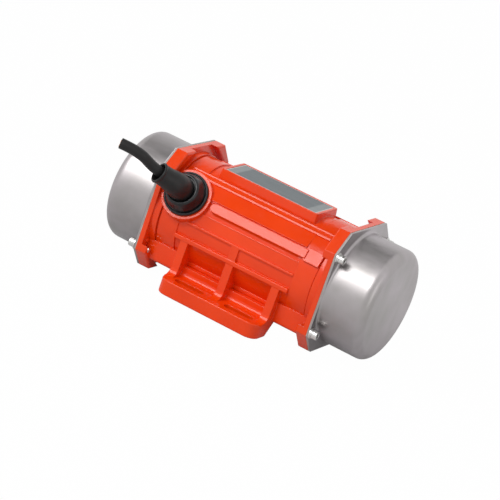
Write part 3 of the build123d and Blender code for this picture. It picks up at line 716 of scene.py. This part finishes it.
def make_cast_flats(material):
    """Flats between the brackets, the cast bar and the rails, and the step behind each sill."""
    # Half length, then the normal's angle, distance, low and high angle, and root radius
    flats = (
        (flat_end, 48.0, 42.46, 35.2, 53.0, 40.9),
        (flat_end, 9.0, 41.5, 5.5, 19.5, 40.9),
        (sill_end, 0.0, 31.6, -44.0, -41.2, 38.0),
    )
    meshes = []
    for side in (-1, 1):
        for end, *numbers in flats:
            meshes.append(barrel_strip(-end, end, flat_facet(*numbers), side))
    piece("cast_flats", joined("cast_flats", meshes), material, "frame", "paint")


def bar_crown():
    """Flat crown of the cast bar, round at its left end and running into the block."""
    tip = bar_left - 0.4
    stations = [
        (tip, 0.0), (tip, 0.05), (bar_left, 0.45), (bar_left + 1.0, 0.72), (bar_left + 2.6, 0.92),
        (bar_left + 4.6, 1.0), (bar_right, 1.0), (bar_right, 0.0),
    ]
    rings = []
    for x, share in stations:
        low, high = bar_angle - bar_half_angle * share, bar_angle + bar_half_angle * share
        outline = flat_facet(bar_angle, bar_distance if share else 42.0, low, high, 41.0)
        rings.append(barrel_ring(x, outline, -1))
    return surface("crown", np.stack(rings))


def make_cast_ridges(material):
    """Crown of the cast bar, the lip under it, and two thin ridges along each rail."""
    # Angle, radius, width and the angle that the flat front faces
    lip = (18.8, 42.2, 0.9, 27.0)
    rail_ridges = ((53.4, 43.55, 1.9, 31.0), (59.6, 43.7, 1.6, 32.0))
    meshes = [bar_crown(), barrel_strip(bar_left, flat_end, ridge(*lip), -1)]
    for side in (-1, 1):
        for numbers in rail_ridges:
            meshes.append(barrel_strip(-rail_end, rail_end, ridge(*numbers), side))
    piece("cast_ridges", joined("cast_ridges", meshes), material, "frame", "paint")


def make_rib_plugs(material):
    """Round plugs, flush with the ribs, in the holes in line with the low screws."""
    turn = full_turn(48)
    depth = rib_plug_half * np.array([-1, -1, 1, 1])[:, None] * np.ones(len(turn))
    reach = rib_plug_r * np.array([0, 1, 1, 0])[:, None]
    z = axis_height - screw_z + reach * np.sin(turn)
    meshes = []
    for side in (-1, 1):
        y = side * screw_y + reach * np.cos(turn)
        for station in rib_stations:
            grid = np.stack([station + depth, y, z], -1)
            meshes.append(surface("plug", grid))
    piece("rib_plugs", joined("rib_plugs", meshes), material, "frame", "paint")


# CAD nodes that keep their shape

def paint_node(node, material):
    """The finish of a CAD node, whose shape stays as it is."""
    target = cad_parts[node]
    target.data.materials.clear()
    target.data.materials.append(material)


paint = orange_powder_coat()
cap_steel = drawn_steel()
even_grain = (900, 900, 900)
cast_grain = (700, 700, 700)
screw_steel = satin_steel("screw_steel", (0.72, 0.71, 0.69), (0.60, 0.59, 0.575), 0.24, even_grain)
shaft_steel = satin_steel("shaft_steel", (0.52, 0.52, 0.53), (0.45, 0.45, 0.46), 0.22)
bearing_steel = satin_steel("bearing_steel", (0.72, 0.72, 0.73), (0.66, 0.66, 0.67), 0.14)
weight_steel = satin_steel("weight_steel", (0.36, 0.36, 0.37), (0.25, 0.25, 0.26), 0.42, cast_grain)
gasket_sheet = black_rubber("gasket_rubber", (0.30, 0.27, 0.24), 0.7)
rubber = black_rubber("seal_rubber", (0.012, 0.012, 0.012), 0.7)
nylon = black_rubber("gland_nylon", (0.005, 0.005, 0.006), 0.30, 900.0, 0.00002, 0.35)
boot_skin = black_rubber("boot_rubber", (0.0065, 0.006, 0.006), 0.42)
cord_skin = black_rubber("cord_rubber", (0.0065, 0.006, 0.006), 0.46)
core_skin = black_rubber("core_insulation", (0.16, 0.07, 0.03), 0.5)
plate_skin = plate_grey()
sheets = laminated_steel()
copper = varnished_copper()
aluminium = cast_aluminium()

cord = make_power_cord(cord_skin)
make_cord_end(copper, core_skin)
boot = make_cable_boot(boot_skin)
make_gland_base(nylon)
make_gland_nut(nylon)
make_cap_screws(screw_steel)
make_cast_flats(paint)
make_cast_ridges(paint)
make_rib_plugs(paint)
end_finishes = {
    "end_cap": cap_steel, "cap_washers": screw_steel, "cap_gasket": gasket_sheet,
    "end_shield": aluminium, "bearing_outer_ring": bearing_steel,
    "bearing_inner_ring": bearing_steel, "ball_cage": bearing_steel,
    "spacer_sleeve": shaft_steel, "fixed_weight": weight_steel, "weight_key": shaft_steel,
    "adjustable_weight": weight_steel, "clamp_screw": screw_steel, "nut_washer": screw_steel,
    "shaft_nut": screw_steel,
}
for node, material in end_finishes.items():
    paint_node(f"{node}_left", material)
    paint_node(f"{node}_right", material)
middle_finishes = {
    "housing": paint, "nameplate": plate_skin, "gland_seal": rubber, "stator_core": sheets,
    "rotor_core": sheets, "stator_winding": copper, "rotor_cage": aluminium,
    "shaft": shaft_steel, "tie_bolts": screw_steel, "tie_nuts": screw_steel,
}
for node, material in middle_finishes.items():
    paint_node(node, material)


# Camera, light and backdrop

def placed(right, up, back, place):
    """Matrix of something at a place, from its three directions."""
    matrix = np.eye(4)
    matrix[:3] = np.stack([right, up, back, place], -1)
    return matrix


def set_camera():
    """Camera on the fitted line of sight, rolled as the photograph is."""
    back = np.array([
        sin(camera_azimuth) * cos(camera_elevation),
        -cos(camera_azimuth) * cos(camera_elevation),
        sin(camera_elevation),
    ])
    level_right = np.array([cos(camera_azimuth), sin(camera_azimuth), 0.0])
    level_up = np.cross(back, level_right)
    right = cos(camera_roll) * level_right + sin(camera_roll) * level_up
    up = cos(camera_roll) * level_up - sin(camera_roll) * level_right
    place = studio_centre + camera_distance * back
    data = bpy.data.cameras.new("photo_camera")
    data.lens = camera_lens
    data.sensor_width = 36.0
    data.shift_x, data.shift_y = camera_shift
    data.clip_end = 20.0
    camera = bpy.data.objects.new("photo_camera", data)
    camera.matrix_world = Matrix(placed(right, up, back, place).tolist())
    bpy.context.scene.collection.objects.link(camera)
    bpy.context.scene.camera = camera


def set_world(level):
    """White surroundings for the eye and for gloss, and a softer level for matt surfaces."""
    world = bpy.data.worlds.new("studio")
    bpy.context.scene.world = world
    world.use_nodes = True
    tree = world.node_tree
    path = tree.nodes.new("ShaderNodeLightPath")
    seen = path.outputs["Is Camera Ray"]
    for kind in ("Is Glossy Ray", "Is Transmission Ray"):
        seen = combine(tree, "MAXIMUM", seen, path.outputs[kind])
    background = tree.nodes["Background"]
    background.inputs["Color"].default_value = (1, 1, 1, 1)
    strength = spread(tree, seen, level, 1.0, 0.0, 1.0)
    tree.links.new(strength, background.inputs["Strength"])


def facing_centre(place):
    """Matrix of something at a place that faces the object's centre."""
    back = np.array(place) - studio_centre
    back /= np.linalg.norm(back)
    side = np.cross(np.array([0.0, 0.0, 1.0]), back)
    side /= np.linalg.norm(side)
    return placed(side, np.cross(back, side), back, place)


def soft_box(name, place, size, power):
    """Rectangular lamp that faces the object."""
    data = bpy.data.lights.new(name, "AREA")
    data.shape = "RECTANGLE"
    data.size, data.size_y = size
    data.energy = power
    lamp = bpy.data.objects.new(name, data)
    lamp.matrix_world = Matrix(facing_centre(place).tolist())
    bpy.context.scene.collection.objects.link(lamp)


def dark_card(name, place, size):
    """Studio card that only gloss sees, for contrast on the bare steel."""
    corners = unit_square * (*size, 0) / 2
    turned = corners @ facing_centre(place)[:3, :3].T + place
    mesh = bpy.data.meshes.new(name)
    mesh.from_pydata(turned.tolist(), [], [(0, 1, 2, 3)])
    mesh.materials.append(matt_black(name))
    card = bpy.data.objects.new(name, mesh)
    card.visible_camera = False
    card.visible_diffuse = False
    card.visible_shadow = False
    bpy.context.scene.collection.objects.link(card)


def set_floor():
    """Plain white floor, just under the feet."""
    mesh = bpy.data.meshes.new("floor")
    corners = unit_square * (floor_half, floor_half, 0) + (0, 0, -0.2 * MM)
    mesh.from_pydata(corners.tolist(), [], [(0, 1, 2, 3)])
    floor = bpy.data.objects.new("floor", mesh)
    mesh.materials.append(plain_white("floor_white", 0.99, 0.9))
    bpy.context.scene.collection.objects.link(floor)


set_camera()
set_world(0.54)
set_floor()
soft_box("key_box", (-0.45, -0.80, 0.83), (0.75, 0.5), 8.4)
soft_box("right_box", (1.3, -0.5, 0.5), (0.5, 0.9), 1.5)
dark_card("top_card", (-0.4, 0.04, 1.05), (1.6, 0.34))
bpy.context.scene.view_settings.view_transform = "Standard"
